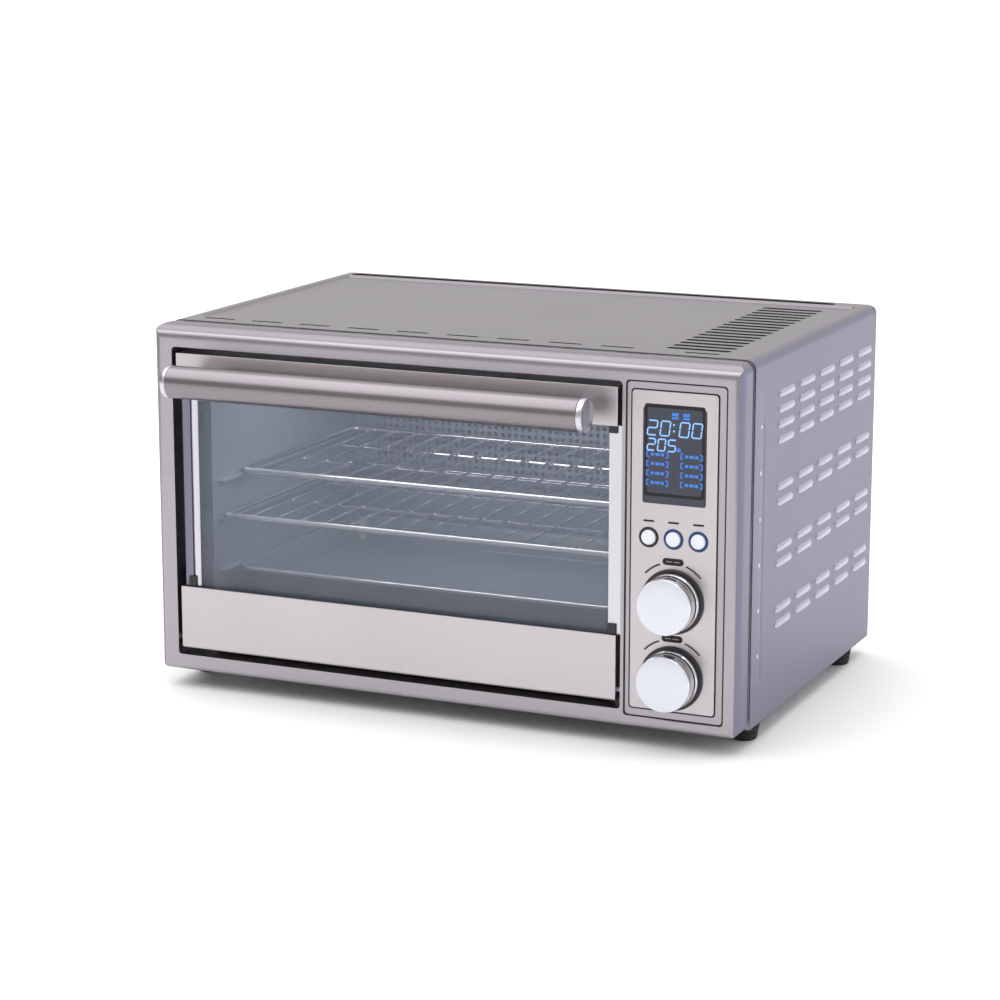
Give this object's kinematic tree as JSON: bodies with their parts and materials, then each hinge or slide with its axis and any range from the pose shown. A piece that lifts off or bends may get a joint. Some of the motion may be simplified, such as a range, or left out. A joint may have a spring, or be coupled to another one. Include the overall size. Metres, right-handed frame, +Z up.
{
  "type": "toaster oven",
  "caption": "Countertop convection toaster oven with a drop-down glass door, display, push buttons, rotary knobs, wire racks and a baking tray.",
  "frame": {"origin": "middle of the underside of the whole oven, on the table under its feet", "axes": "+X to the right as the user faces the door, +Y to the rear, +Z up"},
  "size_m": [0.5, 0.385, 0.3],
  "materials": {
    "stainless": "satin",
    "galvanised": "satin",
    "cavity_steel": "satin",
    "rubber": "matte",
    "black_plastic": "matte",
    "heater_tube": "satin",
    "ceramic": "matte",
    "zinc": "satin",
    "display_glass": "gloss",
    "circuit_board": "matte",
    "button_ring": "gloss",
    "bright_trim": "gloss",
    "clear_glass": "gloss",
    "chrome": "gloss",
    "enamel": "gloss",
    "aluminised": "satin",
    "white_plastic": "gloss"
  },
  "bodies": {
    "casing": {"wrapper_shell": "stainless", "front_frame": "stainless", "front_plate": "galvanised", "back_panel": "galvanised", "base_plate": "galvanised", "foot_front_left": "rubber", "foot_front_right": "rubber", "foot_rear_left": "rubber", "foot_rear_right": "rubber", "cord_gland": "black_plastic", "cavity_left_wall": "cavity_steel", "cavity_right_wall": "cavity_steel", "cavity_roof": "cavity_steel", "cavity_back": "cavity_steel", "crumb_rails": "galvanised", "upper_heaters": "heater_tube", "lower_heaters": "heater_tube", "heater_bushes": "ceramic", "fan_housing": "galvanised", "fan_motor": "zinc", "temperature_probe": "zinc", "thermal_cutout": "black_plastic", "heat_shield": "galvanised", "control_plate": "stainless", "display_window": "display_glass", "display_module": "circuit_board", "control_board": "circuit_board", "power_board": "circuit_board", "button_rings": "button_ring", "knob_rings": "black_plastic", "encoder_upper": "black_plastic", "encoder_lower": "black_plastic", "base_screws": "zinc", "back_screws": "zinc", "hinge_bracket_left": "galvanised", "hinge_bracket_right": "galvanised"},
    "door": {"door_top_rail": "stainless", "door_lower_panel": "stainless", "door_left_trim": "bright_trim", "door_right_trim": "bright_trim", "door_glass": "clear_glass", "glass_clips": "zinc", "handle_bar": "stainless", "handle_caps": "chrome", "handle_posts": "zinc", "handle_screws": "zinc", "hinge_pins": "zinc"},
    "upper_rack": {"upper_rack": "chrome"},
    "lower_rack": {"lower_rack": "chrome"},
    "baking_tray": {"baking_tray": "enamel"},
    "crumb_tray": {"crumb_tray": "aluminised"},
    "knob_upper": {"knob_upper": "chrome", "shaft_upper": "zinc"},
    "knob_lower": {"knob_lower": "chrome", "shaft_lower": "zinc"},
    "button_left": {"button_left": "white_plastic"},
    "button_middle": {"button_middle": "white_plastic"},
    "button_right": {"button_right": "white_plastic"},
    "fan": {"fan_blade": "galvanised", "fan_shaft": "zinc"}
  },
  "joints": [
    {"name": "door_hinge", "type": "hinge", "parent": "casing", "child": "door", "pos_m": [-0.04, -0.1405, 0.0417], "axis": [1, 0, 0], "range_deg": [0, 85], "stiffness_Nm_per_rad": 0.5, "springref_deg": -45.84},
    {"name": "upper_rack_slide", "type": "slide", "parent": "casing", "child": "upper_rack", "axis": [0, -1, 0], "range_m": [0, 0.1785]},
    {"name": "lower_rack_slide", "type": "slide", "parent": "casing", "child": "lower_rack", "axis": [0, -1, 0], "range_m": [0, 0.1266]},
    {"name": "baking_tray_slide", "type": "slide", "parent": "casing", "child": "baking_tray", "axis": [0, -1, 0], "range_m": [0, 0.0673]},
    {"name": "crumb_tray_slide", "type": "slide", "parent": "casing", "child": "crumb_tray", "axis": [0, -1, 0], "range_m": [0, 0.19]},
    {"name": "knob_upper_turn", "type": "hinge", "parent": "casing", "child": "knob_upper", "pos_m": [0.1965, -0.1475, 0.117], "axis": [0, -1, 0], "continuous": true},
    {"name": "knob_lower_turn", "type": "hinge", "parent": "casing", "child": "knob_lower", "pos_m": [0.1965, -0.1475, 0.0574], "axis": [0, -1, 0], "continuous": true},
    {"name": "button_left_press", "type": "slide", "parent": "casing", "child": "button_left", "axis": [0, 1, 0], "range_m": [0, 0.0015], "stiffness_N_per_m": 400, "springref_m": -0.001},
    {"name": "button_middle_press", "type": "slide", "parent": "casing", "child": "button_middle", "axis": [0, 1, 0], "range_m": [0, 0.0015], "stiffness_N_per_m": 400, "springref_m": -0.001},
    {"name": "button_right_press", "type": "slide", "parent": "casing", "child": "button_right", "axis": [0, 1, 0], "range_m": [0, 0.0015], "stiffness_N_per_m": 400, "springref_m": -0.001},
    {"name": "fan_spin", "type": "hinge", "parent": "casing", "child": "fan", "pos_m": [-0.035, 0.15, 0.175], "axis": [0, 1, 0], "continuous": true}
  ],
  "couplings": [
    {"joint": "upper_rack_slide", "follows": "door_hinge", "m_per_rad": 0.12},
    {"joint": "lower_rack_slide", "follows": "door_hinge", "m_per_rad": 0.085},
    {"joint": "baking_tray_slide", "follows": "door_hinge", "m_per_rad": 0.045}
  ]
}
